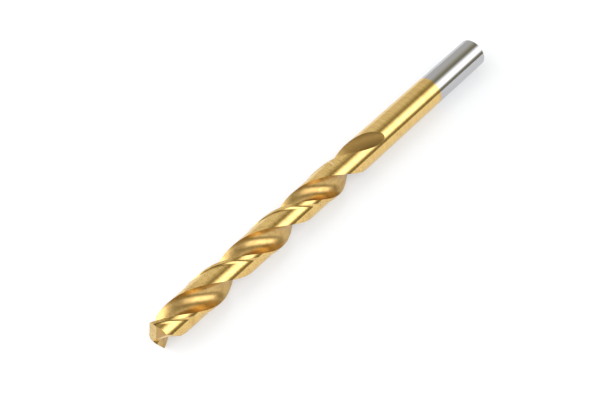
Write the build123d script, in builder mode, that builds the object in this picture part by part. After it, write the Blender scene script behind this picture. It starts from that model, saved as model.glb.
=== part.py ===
from build123d import *
import os
from math import asin, cos, degrees, pi, radians, sin, sqrt, tan

# Twist drill bit: right-hand helix, parallel shank, 135 degree split point.
# Millimetres. The axis runs along X: the shank's end face is at x = 0 and the
# point is at -X. Z is up as the drill lies on a bench.

# ---- driving dimensions ------------------------------------------------------
drill_diameter = 8.0
overall_length = 117.0
flute_length = 75.5                      # from the point to where the flutes run out
shank_undersize = 0.04                   # how much thinner the shank is than the flutes
shank_step = 1.0                         # length of the slope between the two diameters
shank_chamfer = 0.5

# flutes and lands
helix_angle = 32.14
web_at_point = 1.4                       # how far apart the two lips lie
web_growth = 0.008                       # thickening of the core, per mm of length
rake_hook = 14.9                         # undercut of the flute face at the lip's corner
rake_length = 1.9                        # how far in from the corner the face is flatter
rake_radius = 7.36                       # hollow of that flatter part
floor_radius = 3.12                      # hollow of the flute's floor
floor_turn = 90.5                        # how far round the floor goes, in degrees
margin_width = 0.8                       # guiding strip along the land's leading edge
body_clearance = 0.25                    # depth of the rest of the land below the margin
clearance_length = 65.0                  # from the point to where the land is full size
clearance_exit = 4.0                     # length of that return to full size
runout_length = 11.0                     # length over which a flute gets shallow
runout_side = 80.0                       # way it gets shallow, in degrees below the lip
station_turn = 20.0                      # twist from one flute section to the next

# point
point_angle = 135.0                      # included angle between the two lips
primary_relief = 13.0                    # slope of the flank right behind the lip
heel_relief = 28.0                       # steeper slope of the rest of the flank
primary_width = 1.76                     # width of the flank's first facet
chisel_core = 0.64                       # core left by the two thinning notches
notch_turn = 21.0                        # turn of the notch's cutting edge from the lip
notch_tilt = 36.7                        # slope of the notch's bottom to the axis
notch_angle = 111.0                      # angle between the notch's two faces

# lie: the way the first lip's corner points, in degrees from +Y towards +Z
rest_angle = 66.5

# ---- derived -----------------------------------------------------------------
radius = drill_diameter / 2
shank_radius = radius - shank_undersize / 2
shank_length = overall_length - flute_length
tip_x = -overall_length
outside = 1.6 * radius
flute_lead = pi * drill_diameter / tan(radians(helix_angle))
station_pitch = flute_lead * station_turn / 360

lip_offset = web_at_point / 2
lip_dip = degrees(asin(lip_offset / radius))
lip_corner = (radius * cos(radians(lip_dip)), -lip_offset)
lip_slope = 1 / tan(radians(point_angle / 2))
primary_slope = tan(radians(primary_relief))
heel_slope = tan(radians(heel_relief))
lip_x = tip_x - primary_slope * lip_offset
corner_x = lip_x + lip_slope * lip_corner[0]

rake_start = (-cos(radians(rake_hook)), sin(radians(rake_hook)))
rake_turn = degrees(rake_length / rake_radius)
land_radius = radius - body_clearance
margin_end = degrees(margin_width / radius) - lip_dip

flute_end = tip_x + flute_length
runout_start = flute_end - runout_length
web_taper = web_growth / 2
runout_depth = radius - lip_offset - web_taper * (runout_start - tip_x)
wheel_radius = (runout_length**2 + runout_depth**2) / (2 * runout_depth)


def section(x, lift=0, half_turn=0):
    """Plane across the axis at x, its x direction along the lip carried by the helix."""
    turn = radians(rest_angle + lip_dip + 360 * (x - corner_x) / flute_lead + half_turn)
    away = turn - radians(runout_side)
    centre = (x, lift * cos(away), lift * sin(away))
    return Plane(origin=centre, x_dir=(0, cos(turn), sin(turn)), z_dir=(1, 0, 0))


def stations(start, end):
    """Evenly spaced places from start to end, at most one station_pitch apart."""
    count = int((end - start) / station_pitch) + 1
    return [start + (end - start) * step / count for step in range(count + 1)]


def flute_lift(x):
    """How far the flute's profile stands off its place at the point."""
    past = max(x - runout_start, 0)
    taper = web_taper * (min(x, runout_start) - tip_x)
    return taper + wheel_radius - sqrt(wheel_radius**2 - past**2)


def flank(half_turn, behind, slope):
    """Facet that begins this far behind a lip and falls away from it at this slope."""
    lip = section(corner_x, half_turn=half_turn)
    start = (lip_x + primary_slope * behind, 0, 0)
    normal = lip.x_dir * lip_slope + lip.y_dir * slope - lip.z_dir
    return Plane(origin=lip.y_dir * (behind - lip_offset) + start, z_dir=normal)


def notch_bottom(half_turn):
    """Plane across a notch at the chisel edge: z runs down its bottom, x up its lip side."""
    lip = section(corner_x, half_turn=half_turn)
    edge = lip.x_dir * cos(radians(notch_turn)) - lip.y_dir * sin(radians(notch_turn))
    tilt = radians(notch_tilt)
    return Plane(
        origin=lip.y_dir * (-chisel_core / 2) + (tip_x, 0, 0),
        x_dir=edge * cos(tilt) - lip.z_dir * sin(tilt),
        z_dir=edge * sin(tilt) + lip.z_dir * cos(tilt),
    )


def polar(reach, angle):
    return (reach * cos(radians(angle)), reach * sin(radians(angle)))


# ---- what the grinding wheel takes out for one flute ---------------------------
with BuildPart() as flute:
    for x in stations(tip_x - station_pitch, flute_end + station_pitch):
        with BuildSketch(section(x, flute_lift(x))):
            with BuildLine():
                rake = JernArc(lip_corner, rake_start, rake_radius, rake_turn)
                floor = JernArc(rake @ 1, rake % 1, floor_radius, floor_turn)
                wall_end = floor @ 1 + floor % 1 * outside
                Polyline(floor @ 1, wall_end, (outside, -outside), (outside, -lip_offset), lip_corner)
            make_face()
    loft()

# ---- what is taken off one land behind its margin -----------------------------
clearance_end = tip_x + clearance_length
past_heel = 120                          # in degrees from the lip, out in the next flute
with BuildPart() as clearance:
    for x in stations(tip_x - station_pitch, clearance_end + 1):
        with BuildSketch(section(x)):
            with BuildLine():
                inner = land_radius / 2
                middle = (margin_end + past_heel) / 2
                Polyline(
                    polar(inner, margin_end),
                    polar(outside, margin_end),
                    polar(1.2 * outside, middle),
                    polar(outside, past_heel),
                    polar(inner, past_heel),
                    close=True,
                )
            make_face()
    loft()
    with BuildSketch(Plane.XZ):
        with BuildLine():
            Polyline(
                (tip_x - 2 * station_pitch, 0),
                (tip_x - 2 * station_pitch, land_radius),
                (clearance_end - clearance_exit, land_radius),
                (clearance_end, radius),
                (clearance_end + 2, 2 * outside),
                (clearance_end + 2, 0),
                close=True,
            )
        make_face()
    revolve(axis=Axis.X, mode=Mode.SUBTRACT)

# ---- the drill bit --------------------------------------------------------------
with BuildPart() as twist_drill_bit:
    with BuildSketch(Plane.XZ):
        with BuildLine():
            Polyline(
                (0, 0),
                (0, shank_radius - shank_chamfer),
                (-shank_chamfer, shank_radius),
                (-shank_length, shank_radius),
                (-shank_length - shank_step, radius),
                (tip_x, radius),
                (tip_x, 0),
                close=True,
            )
        make_face()
    revolve(axis=Axis.X)
    for half_turn in (0, 180):
        add(flute.part, rotation=(half_turn, 0, 0), mode=Mode.SUBTRACT)
        add(clearance.part, rotation=(half_turn, 0, 0), mode=Mode.SUBTRACT)
        split(bisect_by=flank(half_turn, 0, primary_slope), keep=Keep.BOTTOM)
        split(bisect_by=flank(half_turn, primary_width, heel_slope), keep=Keep.BOTTOM)
    for half_turn in (0, 180):
        with BuildSketch(notch_bottom(half_turn)):
            with BuildLine():
                Polyline((0, 0), (2 * outside, 0), polar(2 * outside, -notch_angle), close=True)
            make_face()
        extrude(amount=outside, both=True, mode=Mode.SUBTRACT)
twist_drill_bit.part.label = "twist_drill_bit"

os.makedirs("parts", exist_ok=True)
export_step(twist_drill_bit.part, "parts/twist_drill_bit.step")
print("solids", len(twist_drill_bit.part.solids()), "valid", twist_drill_bit.part.is_valid)
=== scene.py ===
from math import asin, atan2, ceil, cos, degrees, hypot, pi, radians, sin, sqrt, tan

import bmesh
import bpy
from mathutils import Matrix, Vector


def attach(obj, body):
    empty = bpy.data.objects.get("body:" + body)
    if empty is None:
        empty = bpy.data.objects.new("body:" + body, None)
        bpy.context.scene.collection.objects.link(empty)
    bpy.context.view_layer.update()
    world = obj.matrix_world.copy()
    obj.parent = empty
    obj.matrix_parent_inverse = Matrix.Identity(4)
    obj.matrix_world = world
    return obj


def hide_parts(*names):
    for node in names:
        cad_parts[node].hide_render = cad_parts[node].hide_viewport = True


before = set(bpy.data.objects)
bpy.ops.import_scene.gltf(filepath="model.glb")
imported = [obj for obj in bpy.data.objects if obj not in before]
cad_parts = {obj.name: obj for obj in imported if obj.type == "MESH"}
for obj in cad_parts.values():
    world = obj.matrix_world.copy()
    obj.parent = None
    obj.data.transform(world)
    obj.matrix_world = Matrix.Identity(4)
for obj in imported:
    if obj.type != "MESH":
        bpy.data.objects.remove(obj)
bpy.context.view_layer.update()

# Twist drill bit, coated in titanium nitride, with the shank's end left bare.
# The drill's mesh is worked out in millimetres and scaled to metres at its end. The rest
# of the scene is in metres. Angles that are named in capitals are in degrees.
MM = 0.001

# ---- the drill's sizes -----------------------------------------------------------
# They are the solid's, apart from those that say otherwise. Those were fitted to the
# photograph later.
DIAMETER = 8.0
LENGTH = 117.0
FLUTE_LENGTH = 75.1  # 75.5 in the solid
SHANK_UNDERSIZE = 0.04
SHANK_STEP = 1.0
SHANK_CHAMFER = 0.5
HELIX_ANGLE = 32.14
WEB_AT_POINT = 1.4
WEB_GROWTH = 0.008
RAKE_HEADING = 165.1
RAKE_LENGTH = 1.9
RAKE_RADIUS = 7.36
FLOOR_LENGTH = 4.93
FLOOR_RADIUS = 3.12
MARGIN_WIDTH = 0.8
MARGIN_FILLET = 1.0  # a sharp step in the solid
BODY_CLEARANCE = 0.25
CLEARANCE_LENGTH = 59.85  # 65.0 in the solid
CLEARANCE_EXIT = 7.0  # 4.0 in the solid
RUNOUT_LENGTH = 10.6  # 11.0 in the solid
RUNOUT_SIDE = 100.0  # 80.0 in the solid
POINT_ANGLE = 135.0
PRIMARY_RELIEF = 13.0
HEEL_RELIEF = 28.0
PRIMARY_WIDTH = 1.76
CHISEL_CORE = 0.64
NOTCH_TURN = 21.0
NOTCH_TILT = 42.0  # 36.7 in the solid
NOTCH_ANGLE = 121.0  # 111.0 in the solid
REST_ANGLE = 66.5

R = DIAMETER / 2
SHANK_R = R - SHANK_UNDERSIZE / 2
TIP = -LENGTH
LEAD = pi * DIAMETER / tan(radians(HELIX_ANGLE))
LIP_OFFSET = WEB_AT_POINT / 2
LIP_DIP = degrees(asin(LIP_OFFSET / R))
LIP_CORNER = (R * cos(radians(LIP_DIP)), -LIP_OFFSET)
LIP_SLOPE = 1 / tan(radians(POINT_ANGLE / 2))
PRIMARY_SLOPE = tan(radians(PRIMARY_RELIEF))
HEEL_SLOPE = tan(radians(HEEL_RELIEF))
LIP_X = TIP - PRIMARY_SLOPE * LIP_OFFSET
CORNER_X = LIP_X + LIP_SLOPE * LIP_CORNER[0]
LAND_R = R - BODY_CLEARANCE
MARGIN_END = degrees(MARGIN_WIDTH / R) - LIP_DIP
FLUTE_END = TIP + FLUTE_LENGTH
RUNOUT_START = FLUTE_END - RUNOUT_LENGTH
WEB_TAPER = WEB_GROWTH / 2
RUNOUT_DEPTH = R - LIP_OFFSET - WEB_TAPER * (RUNOUT_START - TIP)
WHEEL_R = (RUNOUT_LENGTH**2 + RUNOUT_DEPTH**2) / (2 * RUNOUT_DEPTH)
CLEARANCE_END = TIP + CLEARANCE_LENGTH
HALF_TURNS = (0, 180)  # everything but the shank is there twice, half a turn apart

# ---- how finely the mesh is made ---------------------------------------------------
RING_STEP = 0.3
RUNOUT_RINGS = 70
SHANK_RINGS = 40
CURVE_STEP = 0.02
MARGIN_POINTS = 24
FILLET_POINTS = 9
LAND_POINTS = 26
FLUTE_POINTS = 60
HALVINGS = 40  # when looking for the place where the flutes vanish
SHARP_ANGLE = 9.0  # edges that bend by this or more are shaded sharp
MERGE_DISTANCE = 2e-4
CUT_DISTANCE = 1e-6
SHORTEST_STEP = 1e-12

# sizes that only have to be large or small enough
OUTSIDE = 1.6 * R  # well outside the drill
WALL_LENGTH = 1.2 * R  # the flute's straight wall, out past the land
AHEAD_OF_POINT = 3.0  # where the mesh starts, before the point is ground
PAST_FLUTE = 3.0  # beyond where the flutes can reach
SHANK_GAP = 0.01  # between the last flute section and the shank
FILLET_RUN_ON = 0.05  # land made with the fillet's fine steps
LEAST_MARGIN = 0.5  # in degrees, where the flute leaves no margin

ZONE_GROUND = 0
ZONE_FLUTE = 1
ZONE_FACET = 2
ZONE_END = 3
ZONE_HEEL = 4


def turn_at(x):
    """How far the helix has carried the first lip's direction at x, in radians from +Y."""
    return radians(REST_ANGLE + LIP_DIP + 360 * (x - CORNER_X) / LEAD)


def flute_lift(x):
    """How far the flute's profile stands off its place at the point."""
    past = max(x - RUNOUT_START, 0)
    taper = WEB_TAPER * (min(x, RUNOUT_START) - TIP)
    return taper + WHEEL_R - sqrt(WHEEL_R**2 - past**2)


def flute_curve():
    """The flute's profile from outside the lip to outside the heel, evenly divided."""
    lead_in = OUTSIDE - LIP_CORNER[0]
    steps = range(int(lead_in / CURVE_STEP))
    points = [(LIP_CORNER[0] + lead_in - CURVE_STEP * i, -LIP_OFFSET) for i in steps]
    points.append(LIP_CORNER)
    heading = radians(RAKE_HEADING)
    pieces = ((RAKE_LENGTH, RAKE_RADIUS), (FLOOR_LENGTH, FLOOR_RADIUS), (WALL_LENGTH, None))
    for length, bend in pieces:
        count = ceil(length / CURVE_STEP)
        turn = length / count / bend if bend else 0.0
        for _ in range(count):
            heading += turn / 2
            u, v = points[-1]
            points.append((u + length / count * cos(heading), v + length / count * sin(heading)))
            heading += turn / 2
    return points


CURVE = flute_curve()


def land_radius(x):
    """Radius of the land behind its margin."""
    grown = (x - (CLEARANCE_END - CLEARANCE_EXIT)) / CLEARANCE_EXIT
    return LAND_R + (R - LAND_R) * min(max(grown, 0), 1)


def crossing(a, b, reach):
    """Where the line from a to b passes this distance from the axis."""
    ra = hypot(*a)
    rb = hypot(*b)
    t = (reach - ra) / (rb - ra)
    return (a[0] + t * (b[0] - a[0]), a[1] + t * (b[1] - a[1]))


def flute_inside(x):
    """The stretch of the flute's profile that lies inside the drill at x, or None."""
    lift = flute_lift(x)
    away = radians(RUNOUT_SIDE)
    moved = [(u + lift * cos(away), v - lift * sin(away)) for u, v in CURVE]
    first = next((i for i, p in enumerate(moved) if hypot(*p) < R), None)
    if first is None:
        return None
    outer = land_radius(x)
    last = len(moved) - 1
    while hypot(*moved[last]) > outer:
        last -= 1
        if last < first:
            return None
    start = crossing(moved[first - 1], moved[first], R)
    end = crossing(moved[last + 1], moved[last], outer)
    return [start] + moved[first : last + 1] + [end]


def spread(points, count):
    """The same line with this many points, evenly spaced."""
    along = [0.0]
    for a, b in zip(points, points[1:]):
        along.append(along[-1] + hypot(b[0] - a[0], b[1] - a[1]))
    result = []
    k = 0
    for i in range(count):
        s = along[-1] * i / (count - 1)
        while k < len(points) - 2 and along[k + 1] < s:
            k += 1
        length = along[k + 1] - along[k]
        t = (s - along[k]) / length if length > SHORTEST_STEP else 0.0
        a, b = points[k], points[k + 1]
        result.append((a[0] + t * (b[0] - a[0]), a[1] + t * (b[1] - a[1])))
    return result


def arc(reach, start, end, count):
    """Points on a circle round the axis, from start to end in degrees."""
    angles = [radians(start + (end - start) * i / (count - 1)) for i in range(count)]
    return [(reach * cos(a), reach * sin(a)) for a in angles]


def margin_fillet(reach, start):
    """The hollow that leads from the margin's back edge down to the land."""
    depth = R - reach
    width = sqrt(2 * MARGIN_FILLET * depth - depth**2)
    points = []
    for i in range(FILLET_POINTS):
        along = (width + FILLET_RUN_ON) * i / (FILLET_POINTS - 1)
        rise = MARGIN_FILLET - sqrt(MARGIN_FILLET**2 - max(width - along, 0) ** 2)
        angle = radians(start) + along / reach
        points.append(((reach + rise) * cos(angle), (reach + rise) * sin(angle)))
    return points


def half_outline(x):
    """Half the drill's section at x: margin, hollow, land and the other flute."""
    inside = flute_inside(x)
    lip = degrees(atan2(inside[0][1], inside[0][0]))
    heel = degrees(atan2(-inside[-1][1], -inside[-1][0]))
    reach = land_radius(x)
    margin_end = max(MARGIN_END, lip + LEAST_MARGIN)
    margin = arc(R, lip, margin_end, MARGIN_POINTS)
    fillet = margin_fillet(reach, margin_end)
    fillet_end = degrees(atan2(fillet[-1][1], fillet[-1][0]))
    land = arc(reach, fillet_end, heel, LAND_POINTS)
    other = [(-u, -v) for u, v in reversed(spread(inside, FLUTE_POINTS))]
    return margin + fillet[1:] + land[1:] + other[1:-1]


def zones():
    """The zone of each quad round a whole section, one fewer than the points of each line."""
    ground = sum(count - 1 for count in (MARGIN_POINTS, FILLET_POINTS, LAND_POINTS))
    return ([ZONE_GROUND] * ground + [ZONE_FLUTE] * (FLUTE_POINTS - 1)) * 2


def last_flute_x():
    """Where the flutes vanish, found by halving."""
    low, high = RUNOUT_START, FLUTE_END + PAST_FLUTE
    for _ in range(HALVINGS):
        middle = (low + high) / 2
        if flute_inside(middle) is None:
            high = middle
        else:
            low = middle
    return low


def ring(x):
    """Both halves of the section at x, carried round by the helix."""
    outline = half_outline(x)
    turn = turn_at(x)
    placed = []
    for half in (0, pi):
        c, s = cos(turn + half), sin(turn + half)
        placed += [(x, u * c - v * s, u * s + v * c) for u, v in outline]
    return placed


def flute_places(flute_stop):
    """Where along the axis the fluted part has its rings."""
    start = TIP - AHEAD_OF_POINT
    body = RUNOUT_START - start
    count = ceil(body / RING_STEP)
    places = [start + body * i / count for i in range(count)]
    runout = flute_stop - RUNOUT_START
    for i in range(RUNOUT_RINGS + 1):
        places.append(RUNOUT_START + runout * sin(pi / 2 * i / RUNOUT_RINGS))
    return sorted(places + [CLEARANCE_END - CLEARANCE_EXIT, CLEARANCE_END])


def shank_rings(final, shank_start):
    """Rings of the round shank, each a copy of the last fluted ring at another radius."""
    profile = [(shank_start, R), (shank_start + SHANK_STEP, SHANK_R)]
    straight_start = profile[-1][0]
    length = -SHANK_CHAMFER - straight_start
    for i in range(1, SHANK_RINGS + 1):
        profile.append((straight_start + length * i / SHANK_RINGS, SHANK_R))
    profile.append((0.0, SHANK_R - SHANK_CHAMFER))
    rings = []
    for x, reach in profile:
        scaled = []
        for _, y, z in final:
            share = reach / hypot(y, z)
            scaled.append((x, y * share, z * share))
        rings.append(scaled)
    return rings


def drill_mesh():
    """The drill before its point is ground: fluted body and round shank."""
    flute_stop = last_flute_x()
    rings = [ring(x) for x in flute_places(flute_stop)]
    fluted = len(rings)
    rings += shank_rings(rings[-1], max(FLUTE_END, flute_stop + SHANK_GAP))

    bm = bmesh.new()
    zone = bm.faces.layers.int.new("zone")
    made = [[bm.verts.new(p) for p in r] for r in rings]
    round_zones = zones()
    around = len(made[0])
    chamfer = len(made) - 2
    for i, (a, b) in enumerate(zip(made, made[1:])):
        for k in range(around):
            n = (k + 1) % around
            face = bm.faces.new((a[k], a[n], b[n], b[k]))
            face[zone] = round_zones[k] if i < fluted - 1 else ZONE_GROUND
            if i == chamfer:
                face[zone] = ZONE_END
    bm.faces.new(list(reversed(made[0])))
    cap = bm.faces.new(made[-1])
    cap[zone] = ZONE_END
    bmesh.ops.remove_doubles(bm, verts=bm.verts, dist=MERGE_DISTANCE)
    bmesh.ops.recalc_face_normals(bm, faces=bm.faces)
    return bm


def axes(half_turn):
    """Directions along and across a lip, at its corner."""
    turn = turn_at(CORNER_X) + radians(half_turn)
    return Vector((0, cos(turn), sin(turn))), Vector((0, -sin(turn), cos(turn)))


def flank_plane(half_turn, behind, slope):
    """Facet that begins this far behind a lip and falls away from it at this slope."""
    along, across = axes(half_turn)
    start = across * (behind - LIP_OFFSET) + Vector((LIP_X + PRIMARY_SLOPE * behind, 0, 0))
    normal = along * LIP_SLOPE + across * slope - Vector((1, 0, 0))
    return start, normal.normalized()


def cut(bm, plane, kind):
    """Cuts off what lies past a plane and closes the section with one facet."""
    geom = bm.verts[:] + bm.edges[:] + bm.faces[:]
    start, normal = plane
    done = bmesh.ops.bisect_plane(
        bm, geom=geom, plane_co=start, plane_no=normal, dist=CUT_DISTANCE, clear_outer=True
    )
    edges = [e for e in done["geom_cut"] if isinstance(e, bmesh.types.BMEdge) and e.is_boundary]
    zone = bm.faces.layers.int["zone"]
    for f in bmesh.ops.contextual_create(bm, geom=edges)["faces"]:
        f[zone] = kind


def notch_axes(half_turn):
    """A thinning notch's origin, and the directions of its lip side, across it and its bottom."""
    along, across = axes(half_turn)
    edge = along * cos(radians(NOTCH_TURN)) - across * sin(radians(NOTCH_TURN))
    tilt = radians(NOTCH_TILT)
    origin = across * (-CHISEL_CORE / 2) + Vector((TIP, 0, 0))
    x_dir = edge * cos(tilt) - Vector((1, 0, 0)) * sin(tilt)
    z_dir = edge * sin(tilt) + Vector((1, 0, 0)) * cos(tilt)
    return origin, x_dir, z_dir.cross(x_dir), z_dir


def wedge(half_turn):
    """The solid that a thinning notch removes."""
    origin, x_dir, y_dir, z_dir = notch_axes(half_turn)
    far = 2 * OUTSIDE
    swing = radians(-NOTCH_ANGLE)
    corners = [(0, 0), (far, 0), (far * cos(swing), far * sin(swing))]
    bm = bmesh.new()
    ends = []
    for depth in (-OUTSIDE, OUTSIDE):
        ends.append(
            [bm.verts.new(origin + x_dir * u + y_dir * v + z_dir * depth) for u, v in corners]
        )
    bm.faces.new(ends[0])
    bm.faces.new(list(reversed(ends[1])))
    for k in range(len(corners)):
        n = (k + 1) % len(corners)
        bm.faces.new((ends[0][n], ends[0][k], ends[1][k], ends[1][n]))
    bmesh.ops.recalc_face_normals(bm, faces=bm.faces)
    return add_object("wedge", finished(bm, bpy.data.meshes.new("wedge")))


def finished(bm, mesh):
    """The mesh, filled with what was built."""
    bm.to_mesh(mesh)
    bm.free()
    return mesh


def add_object(name, data):
    """Puts a mesh, a lamp or a camera in the scene."""
    obj = bpy.data.objects.new(name, data)
    bpy.context.scene.collection.objects.link(obj)
    return obj


def make_drill():
    """The drill with its point ground, its edges marked sharp or smooth, in metres."""
    bm = drill_mesh()
    for half_turn in HALF_TURNS:
        cut(bm, flank_plane(half_turn, 0, PRIMARY_SLOPE), ZONE_FACET)
        cut(bm, flank_plane(half_turn, PRIMARY_WIDTH, HEEL_SLOPE), ZONE_HEEL)
    before = finished(bm, bpy.data.meshes.new("drill_bit"))
    obj = add_object("drill_bit", before)
    wedges = [wedge(half_turn) for half_turn in HALF_TURNS]
    for w in wedges:
        mod = obj.modifiers.new("notch", "BOOLEAN")
        mod.operation = "DIFFERENCE"
        mod.solver = "EXACT"
        mod.object = w
    depsgraph = bpy.context.evaluated_depsgraph_get()
    final = bpy.data.meshes.new_from_object(obj.evaluated_get(depsgraph))
    obj.modifiers.clear()
    obj.data = final
    for w in wedges:
        bpy.data.objects.remove(w)
    bpy.data.meshes.remove(before)

    bm = bmesh.new()
    bm.from_mesh(final)
    for f in bm.faces:
        f.smooth = True
    zone = bm.faces.layers.int["zone"]
    for e in bm.edges:
        same = len({f[zone] for f in e.link_faces}) == 1
        e.smooth = same and e.calc_face_angle(0) < radians(SHARP_ANGLE)
    bmesh.ops.scale(bm, vec=(MM, MM, MM), verts=bm.verts)
    finished(bm, final).name = "drill_bit"
    return obj


# ---- the drill's material ------------------------------------------------------------
class Graph:
    """The node tree of a material or world, with short ways to add and join nodes."""

    def __init__(self, owner):
        owner.use_nodes = True
        self.nodes = owner.node_tree.nodes
        self.links = owner.node_tree.links

    def add(self, kind, **settings):
        """A new node with these settings."""
        node = self.nodes.new(kind)
        for name, value in settings.items():
            setattr(node, name, value)
        return node

    def put(self, socket, value):
        """Joins an output to the socket, or sets the socket's own value."""
        if isinstance(value, bpy.types.NodeSocket):
            self.links.new(value, socket)
        else:
            socket.default_value = value

    def math(self, operation, a, b=0.0, c=0.0):
        """The operation's result. Each of a, b and c is a number or another node's output."""
        node = self.add("ShaderNodeMath", operation=operation)
        for socket, value in zip(node.inputs, (a, b, c)):
            self.put(socket, value)
        return node.outputs[0]

    def ramp(self, value, low, high, start=0.0, end=1.0):
        """A smooth step from start to end while value goes from low to high."""
        node = self.add("ShaderNodeMapRange", interpolation_type="SMOOTHSTEP")
        self.put(node.inputs["Value"], value)
        self.put(node.inputs["From Min"], low)
        self.put(node.inputs["From Max"], high)
        self.put(node.inputs["To Min"], start)
        self.put(node.inputs["To Max"], end)
        return node.outputs["Result"]

    def mix(self, factor, a, b):
        """Colour a where factor is 0, and colour b where it is 1."""
        node = self.add("ShaderNodeMix", data_type="RGBA")
        self.put(node.inputs["Factor"], factor)
        self.put(node.inputs["A"], a)
        self.put(node.inputs["B"], b)
        return node.outputs["Result"]

    def stretched(self, vector, scale, turn=0.0):
        """The place turned about X, in radians, and scaled along each axis."""
        node = self.add("ShaderNodeMapping", vector_type="POINT")
        self.put(node.inputs["Vector"], vector)
        node.inputs["Rotation"].default_value = (turn, 0, 0)
        node.inputs["Scale"].default_value = scale
        return node.outputs[0]

    def noise(self, vector, scale, detail):
        """Noise from 0 to 1. scale is in features per metre."""
        node = self.add("ShaderNodeTexNoise")
        self.put(node.inputs["Vector"], vector)
        node.inputs["Scale"].default_value = scale
        node.inputs["Detail"].default_value = detail
        return node.outputs["Fac"]

    def is_zone(self, zone, number):
        """1 on the faces of this zone, and 0 elsewhere."""
        return self.math("COMPARE", zone, number, 0.5)


GOLD = (0.80, 0.555, 0.203, 1)
GOLD_DARK = (0.60, 0.37, 0.12, 1)
# the flutes' gold is partly the coating's own darker tone and partly painted shade of the hollow
FLUTE_SHADED_GOLD = (0.66, 0.45, 0.172, 1)
FLUTE_STAIN = (0.50, 0.305, 0.105, 1)
# painted shade: the run-out's dark brown stands in for the dark it mirrors
RUNOUT_SHADED_BROWN = (0.30, 0.19, 0.058, 1)
# the point's facets get their own copies of the gold, which hold painted shade: dimmer and paler
# on the first facet, much darker on the heel facet
FACET_GOLD = (0.71, 0.53, 0.245, 1)
HEEL_SHADED_GOLD = (0.46, 0.32, 0.15, 1)
STEEL = (0.51, 0.507, 0.518, 1)
# a painted glint: the bright gold of the scratch across the land
SCRATCH_GLINT_GOLD = (1.0, 0.85, 0.55, 1)

# patterns of noise: features per metre, and detail
ROUND_MARKS = (5200, 3.0)
FLUTE_MARKS = (3000, 3.0)
FACET_MARKS = (6000, 3.0)
END_MARKS = (4500, 3.0)
GRAIN = (2600, 4.0)
CLOUDS = (420, 5.0)
STAINS = (620, 6.0)
RING_TINTS = (2300, 2.0)
SPECKS = (2400, 2.0)
EDGE_WANDER = (500, 2.0)
NOISE_MIDDLE = 0.5

# how a pattern is drawn out: its scale along each axis, where less than 1 is longer
ROUND_STRETCH = (1, 0.04, 0.04)
FLUTE_STRETCH = (0.02, 1, 1)
FACET_STRETCH = (1, 0.05, 1)
RING_STRETCH = (1, 0.03, 0.03)
FLATTEN_X = (0, 1, 1)

# the noise at which a mark begins to show, and at which it is full
CLOUD_RANGE = (0.46, 0.72)
RING_RANGE = (0.44, 0.60)
STAIN_RANGE = (0.46, 0.64)
HEEL_RANGE = (0.40, 0.62)
SPECK_RANGE = (0.55, 0.66)
GRAIN_RANGE = (0.2, 0.8)

# how much of each mark is mixed in, from 0 to 1
CLOUD_SHARE = 0.34
RING_SHARE = 0.26
STAIN_SHARE = 0.65
FACET_SHARE = 0.8
SPECK_SHARES = (0.55, 0.12)  # in the fluted part, and on the shank
SCRATCH_GLINT_SHARE = 0.9
GRAIN_SHARE = 0.35

# roughness, and the height of the marks in metres
ROUGH_GROUND = (0.06, 0.11)
ROUGH_FLUTE = (0.29, 0.55)  # and at the run-out
ROUGH_POINT_MORE = 0.16
MARK_HEIGHT = 0.0012 * MM

# places along the axis. A pair is where a change begins and ends.
COATING_END = -19.6 * MM
COATING_FADE = 0.2 * MM
COATING_WANDER = 0.5 * MM
# where the run-out's painted shade and its greater roughness begin and end
RUNOUT_SHADE_AND_ROUGH = (-53.0 * MM, -49.5 * MM)
SPECKS_THIN_OUT = (-52.0 * MM, -44.0 * MM)

# the scratch, painted as a bright glint, on the line x = SCRATCH_X + SCRATCH_SLANT * y
SCRATCH_X = -57.6 * MM
SCRATCH_SLANT = 0.2
SCRATCH_WIDTH = (0.05 * MM, 0.11 * MM)  # to where it is full, and to where it is gone
SCRATCH_Y = (0.3 * MM, 0.9 * MM)
SCRATCH_Z = (2.0 * MM, 2.6 * MM)


def tool_marks(g, place, helical, zone):
    """Height of the marks: round the lands, shank and end, along the flutes, across facets."""
    round_marks = g.noise(g.stretched(place, ROUND_STRETCH), *ROUND_MARKS)
    flute_marks = g.noise(g.stretched(helical, FLUTE_STRETCH), *FLUTE_MARKS)
    across_facet = g.stretched(place, FACET_STRETCH, -turn_at(CORNER_X))
    facet_marks = g.noise(across_facet, *FACET_MARKS)
    from_axis = g.add("ShaderNodeVectorMath", operation="LENGTH")
    g.put(from_axis.inputs[0], g.stretched(place, FLATTEN_X))
    end_marks = g.noise(from_axis.outputs["Value"], *END_MARKS)
    on_point = g.math("MAXIMUM", g.is_zone(zone, ZONE_FACET), g.is_zone(zone, ZONE_HEEL))
    marks = g.mix(g.is_zone(zone, ZONE_FLUTE), round_marks, flute_marks)
    marks = g.mix(on_point, marks, facet_marks)
    return g.mix(g.is_zone(zone, ZONE_END), marks, end_marks)


def scratch_glint_mask(g, split):
    """1 on a scratch across the land, just before the run-out, where its glint is painted bright.
    """
    y = split.outputs["Y"]
    across = g.math("MULTIPLY_ADD", y, -SCRATCH_SLANT, split.outputs["X"])
    off = g.math("ABSOLUTE", g.math("SUBTRACT", across, SCRATCH_X))
    scratch_glint = g.ramp(off, *SCRATCH_WIDTH, 1.0, 0.0)
    scratch_glint = g.math("MULTIPLY", scratch_glint, g.ramp(y, *SCRATCH_Y))
    return g.math("MULTIPLY", scratch_glint, g.ramp(split.outputs["Z"], *SCRATCH_Z))


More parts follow.
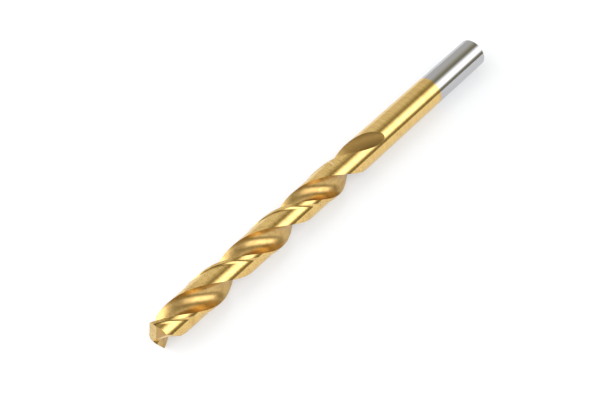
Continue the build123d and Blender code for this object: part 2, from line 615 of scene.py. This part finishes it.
def drill_material():
    """Ground high speed steel, coated up to COATING_END."""
    mat = bpy.data.materials.new("coated_tool_steel")
    g = Graph(mat)
    shader = g.nodes["Principled BSDF"]
    shader.inputs["Metallic"].default_value = 1.0
    place = g.add("ShaderNodeTexCoord").outputs["Object"]
    split = g.add("ShaderNodeSeparateXYZ")
    g.put(split.inputs[0], place)
    along = split.outputs["X"]
    zone = g.add("ShaderNodeAttribute", attribute_name="zone").outputs["Fac"]
    in_flute = g.is_zone(zone, ZONE_FLUTE)
    on_facet = g.is_zone(zone, ZONE_FACET)
    on_heel = g.is_zone(zone, ZONE_HEEL)
    untwist = g.add("ShaderNodeVectorRotate", rotation_type="X_AXIS")
    g.put(untwist.inputs["Vector"], place)
    g.put(untwist.inputs["Angle"], g.math("MULTIPLY", along, -2 * pi / (LEAD * MM)))
    helical = untwist.outputs[0]
    grain = g.noise(place, *GRAIN)

    # lands and shank, then flutes, whose darker gold holds painted shade, deeper and browner
    # where they run out
    clouds = g.noise(helical, *CLOUDS)
    rings = g.noise(g.stretched(place, RING_STRETCH), *RING_TINTS)
    worn = g.math("MULTIPLY", g.ramp(clouds, *CLOUD_RANGE), CLOUD_SHARE)
    worn = g.math("MULTIPLY_ADD", g.ramp(rings, *RING_RANGE), RING_SHARE, worn)
    ground = g.mix(worn, GOLD, GOLD_DARK)
    stain = g.ramp(g.noise(helical, *STAINS), *STAIN_RANGE)
    flute = g.mix(g.math("MULTIPLY", stain, STAIN_SHARE), FLUTE_SHADED_GOLD, FLUTE_STAIN)
    run = g.ramp(along, *RUNOUT_SHADE_AND_ROUGH)
    flute = g.mix(run, flute, RUNOUT_SHADED_BROWN)
    colour = g.mix(in_flute, ground, flute)

    # the point's facets, with their painted shade
    facet = g.mix(g.math("MULTIPLY", worn, FACET_SHARE), FACET_GOLD, HEEL_SHADED_GOLD)
    colour = g.mix(on_facet, colour, facet)
    heel = g.mix(g.ramp(clouds, *HEEL_RANGE), HEEL_SHADED_GOLD, FLUTE_STAIN)
    colour = g.mix(on_heel, colour, heel)

    # specks, the scratch with its painted glint, and the bare end
    speck = g.ramp(g.noise(place, *SPECKS), *SPECK_RANGE)
    share = g.ramp(along, *SPECKS_THIN_OUT, *SPECK_SHARES)
    colour = g.mix(g.math("MULTIPLY", speck, share), colour, FLUTE_STAIN)
    scratch_glint = g.math("MULTIPLY", scratch_glint_mask(g, split), SCRATCH_GLINT_SHARE)
    colour = g.mix(scratch_glint, colour, SCRATCH_GLINT_GOLD)
    wander = g.math("SUBTRACT", g.noise(place, *EDGE_WANDER), NOISE_MIDDLE)
    edge = g.math("MULTIPLY_ADD", wander, COATING_WANDER, along)
    bare = g.ramp(edge, COATING_END - COATING_FADE, COATING_END + COATING_FADE)
    colour = g.mix(bare, colour, STEEL)
    g.put(shader.inputs["Base Color"], colour)

    # gloss and relief
    rough_ground = g.ramp(grain, *GRAIN_RANGE, *ROUGH_GROUND)
    rough_flute = g.ramp(run, 0.0, 1.0, *ROUGH_FLUTE)
    more = g.math("SUBTRACT", rough_flute, rough_ground)
    rough = g.math("MULTIPLY_ADD", in_flute, more, rough_ground)
    on_point = g.math("MAXIMUM", on_facet, on_heel)
    rough = g.math("MULTIPLY_ADD", on_point, ROUGH_POINT_MORE, rough)
    g.put(shader.inputs["Roughness"], rough)
    marks = tool_marks(g, place, helical, zone)
    bump = g.add("ShaderNodeBump")
    bump.inputs["Strength"].default_value = 1.0
    bump.inputs["Distance"].default_value = MARK_HEIGHT
    g.put(bump.inputs["Height"], g.math("MULTIPLY_ADD", grain, GRAIN_SHARE, marks))
    g.put(shader.inputs["Normal"], bump.outputs[0])
    return mat


drill = make_drill()
drill.data.materials.clear()
drill.data.materials.append(drill_material())
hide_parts("twist_drill_bit")
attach(drill, "root")

# ---- stage: floor and backdrop ---------------------------------------------------------
FLOOR_Z = -R * MM
FLOOR_HALF = 3.0
FLOOR_COLOUR = (0.45, 0.46, 0.48, 1)
FLOOR_GLOW = 0.44
WHITE = (1, 1, 1, 1)
WORLD_SEEN = 1.0
WORLD_PLAIN = 0.5


def seen_white(g):
    """1 for what the camera, a reflection or glass sees, and 0 for plain lighting."""
    path = g.add("ShaderNodeLightPath").outputs
    seen = g.math("MAXIMUM", path["Is Camera Ray"], path["Is Glossy Ray"])
    return g.math("MAXIMUM", seen, path["Is Transmission Ray"])


def floor_material():
    """A matt pale sheet that keeps the shadow, with some glow where it is seen."""
    mat = bpy.data.materials.new("floor")
    g = Graph(mat)
    shader = g.nodes["Principled BSDF"]
    shader.inputs["Base Color"].default_value = FLOOR_COLOUR
    shader.inputs["Roughness"].default_value = 1.0
    shader.inputs["Specular IOR Level"].default_value = 0.0
    shader.inputs["Emission Color"].default_value = WHITE
    g.put(shader.inputs["Emission Strength"], g.math("MULTIPLY", seen_white(g), FLOOR_GLOW))
    return mat


def make_floor():
    mesh = bpy.data.meshes.new("floor")
    low, high = -FLOOR_HALF, FLOOR_HALF
    corners = [(low, low), (high, low), (high, high), (low, high)]
    mesh.from_pydata([(x, y, FLOOR_Z) for x, y in corners], [], [(0, 1, 2, 3)])
    mesh.materials.append(floor_material())
    add_object("floor", mesh)


def make_world():
    world = bpy.data.worlds.new("studio")
    bpy.context.scene.world = world
    g = Graph(world)
    background = g.nodes["Background"]
    background.inputs["Color"].default_value = WHITE
    strength = g.add("ShaderNodeMapRange")
    strength.inputs["To Min"].default_value = WORLD_PLAIN
    strength.inputs["To Max"].default_value = WORLD_SEEN
    g.put(strength.inputs["Value"], seen_white(g))
    g.put(background.inputs["Strength"], strength.outputs["Result"])


make_floor()
make_world()

# ---- stage: a tent that the drill mirrors ------------------------------------------------
# A place on it is given by roll, from straight above towards -Y, and by lean, towards +X,
# both in degrees. A pair is where a soft edge begins and ends. A number that ends in _SOFT
# is how far a soft edge reaches to either side. A level of 1 is white.
TENT_REACH = 1.0
TENT_CENTRE = -0.06
TENT_ROLL = 90
TENT_LEAN = 78
TENT_STEP = 3
SHADE = 0.30  # the level away from the lights
TENT_TINT = (1, 0.93, 0.66, 1)  # the light's colour there
TINT_GONE = 0.9  # the level from which the light is white

# a soft light on the +Y side, a little dimmer and narrower towards the shank's end
SIDE_LEVEL = 0.54
SIDE_LEVEL_SHANK = 0.42
SIDE_ROLL = (-10, 40)
SIDE_ROLL_SHANK = (-2, 46)
SHANK_LEAN = (34, 42)
SIDE_LEAST = 0.4  # of the level, towards the point
SIDE_LEAN = (0, 18)

# a bright box on the -Y side. Its top and bottom edges slope with the roll.
BOX_LEVEL = 2.4
BOX_ROLL_IN = (0, 42)
BOX_ROLL_OUT = (48, 76)
BOX_TOP = 66
BOX_TOP_SLOPE = -0.32
BOX_TOP_SOFT = 8
BOX_LOW = -6
BOX_LOW_SLOPE = -0.20
BOX_LOW_SOFT = 9

# a bright light past the point, and the darker gap between it and the box
FAR_LEVEL = 3.0
FAR_EDGE = -33
FAR_EDGE_SLOPE = -0.27
FAR_EDGE_BEND = 0.002
FAR_SOFT = 5
FAR_ROLL_OUT = (35, 60)
GAP_DEPTH = 0.14
GAP_BELOW_BOX = (4, 12)


def step(value, low, high):
    """A smooth step from 0 to 1 while value goes from low to high."""
    t = min(max((value - low) / (high - low), 0), 1)
    return t * t * (3 - 2 * t)


def tent_level(roll, lean):
    """How bright the tent is at this roll and lean."""
    shankward = step(lean, *SHANK_LEAN)
    side = SIDE_LEVEL + (SIDE_LEVEL_SHANK - SIDE_LEVEL) * shankward
    begin, end = (a + (b - a) * shankward for a, b in zip(SIDE_ROLL, SIDE_ROLL_SHANK))
    side *= step(-roll, begin, end)
    side *= SIDE_LEAST + (1 - SIDE_LEAST) * step(lean, *SIDE_LEAN)

    top = BOX_TOP + BOX_TOP_SLOPE * max(roll, 0)
    low = BOX_LOW + BOX_LOW_SLOPE * roll
    box = step(roll, *BOX_ROLL_IN) * (1 - step(roll, *BOX_ROLL_OUT))
    box *= step(lean - low, -BOX_LOW_SOFT, BOX_LOW_SOFT)
    box *= 1 - step(lean - top, -BOX_TOP_SOFT, BOX_TOP_SOFT)

    far_edge = FAR_EDGE + FAR_EDGE_SLOPE * roll + FAR_EDGE_BEND * roll**2
    far = step(far_edge - lean, -FAR_SOFT, FAR_SOFT) * (1 - step(roll, *FAR_ROLL_OUT))
    gap = step(low - lean, *GAP_BELOW_BOX) * (1 - far)
    return SHADE + side - GAP_DEPTH * gap + BOX_LEVEL * box + FAR_LEVEL * far


def tent_material():
    """Light of the level kept in the mesh, warmer where it is dim."""
    mat = bpy.data.materials.new("tent")
    g = Graph(mat)
    g.nodes.remove(g.nodes["Principled BSDF"])
    level = g.add("ShaderNodeAttribute", attribute_name="level").outputs["Fac"]
    glow = g.add("ShaderNodeEmission")
    g.put(glow.inputs["Strength"], level)
    g.put(glow.inputs["Color"], g.mix(g.ramp(level, SHADE, TINT_GONE), TENT_TINT, WHITE))
    g.put(g.nodes["Material Output"].inputs["Surface"], glow.outputs[0])
    return mat


def make_tent():
    """A bent sheet over the drill, bright where the studio's lamps shine through it."""
    rolls = range(-TENT_ROLL, TENT_ROLL + 1, TENT_STEP)
    leans = range(-TENT_LEAN, TENT_LEAN + 1, TENT_STEP)
    verts = []
    levels = []
    for lean in leans:
        x = TENT_CENTRE + TENT_REACH * tan(radians(lean))
        for roll in rolls:
            verts.append((x, -TENT_REACH * sin(radians(roll)), TENT_REACH * cos(radians(roll))))
            levels.append(tent_level(roll, lean))
    wide = len(rolls)
    corners = [j * wide + i for j in range(len(leans) - 1) for i in range(wide - 1)]
    mesh = bpy.data.meshes.new("tent")
    mesh.from_pydata(verts, [], [(k, k + 1, k + wide + 1, k + wide) for k in corners])
    layer = mesh.attributes.new("level", "FLOAT", "POINT")
    layer.data.foreach_set("value", levels)
    mesh.materials.append(tent_material())
    tent = add_object("tent", mesh)
    tent.visible_camera = False


make_tent()

# a lamp above and behind the drill, for its shadow on the floor. Metal doesn't mirror it.
LAMP_SIZE = 0.5
LAMP_ENERGY = 1.0
LAMP_PLACE = (-0.2, 0.4, 0.8)
LAMP_AIM = (0.14, -0.4, -0.8)

lamp = add_object("back_lamp", bpy.data.lights.new("back_lamp", "AREA"))
lamp.data.shape = "DISK"
lamp.data.size = LAMP_SIZE
lamp.data.energy = LAMP_ENERGY
lamp.location = LAMP_PLACE
lamp.rotation_euler = Vector(LAMP_AIM).to_track_quat("-Z", "Y").to_euler()
lamp.visible_glossy = False
lamp.visible_camera = False

# ---- camera, solved from the photograph's outlines -----------------------------------------
CAMERA_PLACE = (-0.16297, -0.08297, 0.16761)
CAMERA_RIGHT = Vector((0.66620, -0.74577, 0.0))
CAMERA_UP = Vector((0.59488, 0.53142, 0.60309))
SENSOR_WIDTH = 36  # in millimetres, as the lens is
LENS = 53.3367
NEAREST = 0.01
FARTHEST = 20

camera = add_object("camera", bpy.data.cameras.new("camera"))
camera.data.sensor_width = SENSOR_WIDTH
camera.data.lens = LENS
camera.data.clip_start = NEAREST
camera.data.clip_end = FARTHEST
back = CAMERA_RIGHT.cross(CAMERA_UP)
pose = Matrix((CAMERA_RIGHT, CAMERA_UP, back)).transposed().to_4x4()
pose.translation = CAMERA_PLACE
camera.matrix_world = pose
bpy.context.scene.camera = camera
bpy.context.scene.view_settings.view_transform = "Standard"
